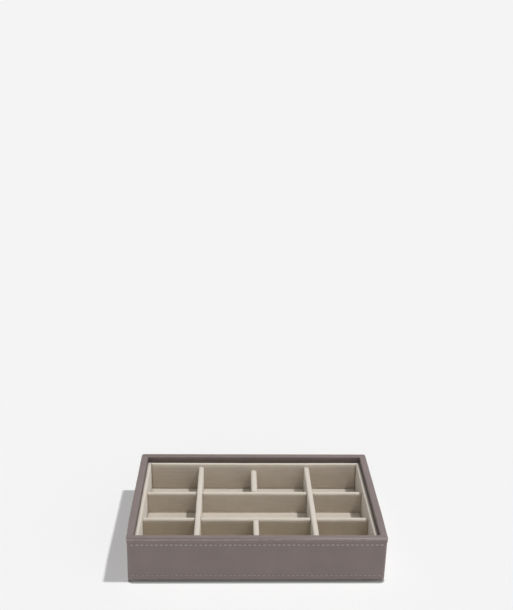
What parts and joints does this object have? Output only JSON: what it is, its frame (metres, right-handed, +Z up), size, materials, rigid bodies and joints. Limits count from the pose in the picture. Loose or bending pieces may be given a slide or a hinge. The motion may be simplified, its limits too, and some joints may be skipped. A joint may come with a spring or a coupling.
{
  "type": "jewelry tray",
  "caption": "Shallow rectangular stacking tray with a stitched leatherette cover and a velvet-lined grid of open compartments for rings and earrings.",
  "frame": {"origin": "middle of the underside, on the felt", "axes": "+X to the right along the long side, +Y to the back, +Z up; the front looks along -Y"},
  "size_m": [0.1812, 0.1262, 0.035],
  "materials": {
    "leatherette": "taupe, fine pebble grain, low sheen",
    "fibreboard": "raw medium-density fibreboard",
    "felt": "pressed felt sheet",
    "foam": "thin foam sheet",
    "velvet": "short-pile velvet, warm greige",
    "greyboard": "uncoated grey card",
    "divider_board": "uncoated grey board",
    "thread": "waxed sewing thread"
  },
  "bodies": {
    "root": {"foot_wrap": "leatherette", "outer_wrap": "leatherette", "back_board": "fibreboard", "base_board": "fibreboard", "foot_board": "fibreboard", "front_board": "fibreboard", "left_board": "fibreboard", "right_board": "fibreboard", "base_felt": "felt", "floor_foam": "foam", "back_lining_velvet": "velvet", "floor_velvet": "velvet", "front_cross_divider_velvet": "velvet", "front_lining_velvet": "velvet", "front_short_divider_velvet": "velvet", "left_lining_velvet": "velvet", "left_long_divider_velvet": "velvet", "rear_cross_divider_velvet": "velvet", "rear_short_divider_velvet": "velvet", "right_lining_velvet": "velvet", "right_long_divider_velvet": "velvet", "back_lining_card": "greyboard", "back_rim_strip": "greyboard", "front_lining_card": "greyboard", "front_rim_strip": "greyboard", "left_lining_card": "greyboard", "left_rim_strip": "greyboard", "right_lining_card": "greyboard", "right_rim_strip": "greyboard", "front_cross_divider_board": "divider_board", "front_short_divider_board": "divider_board", "left_long_divider_board": "divider_board", "rear_cross_divider_board": "divider_board", "rear_short_divider_board": "divider_board", "right_long_divider_board": "divider_board", "bottom_stitching": "thread", "top_stitching": "thread"}
  },
  "joints": []
}
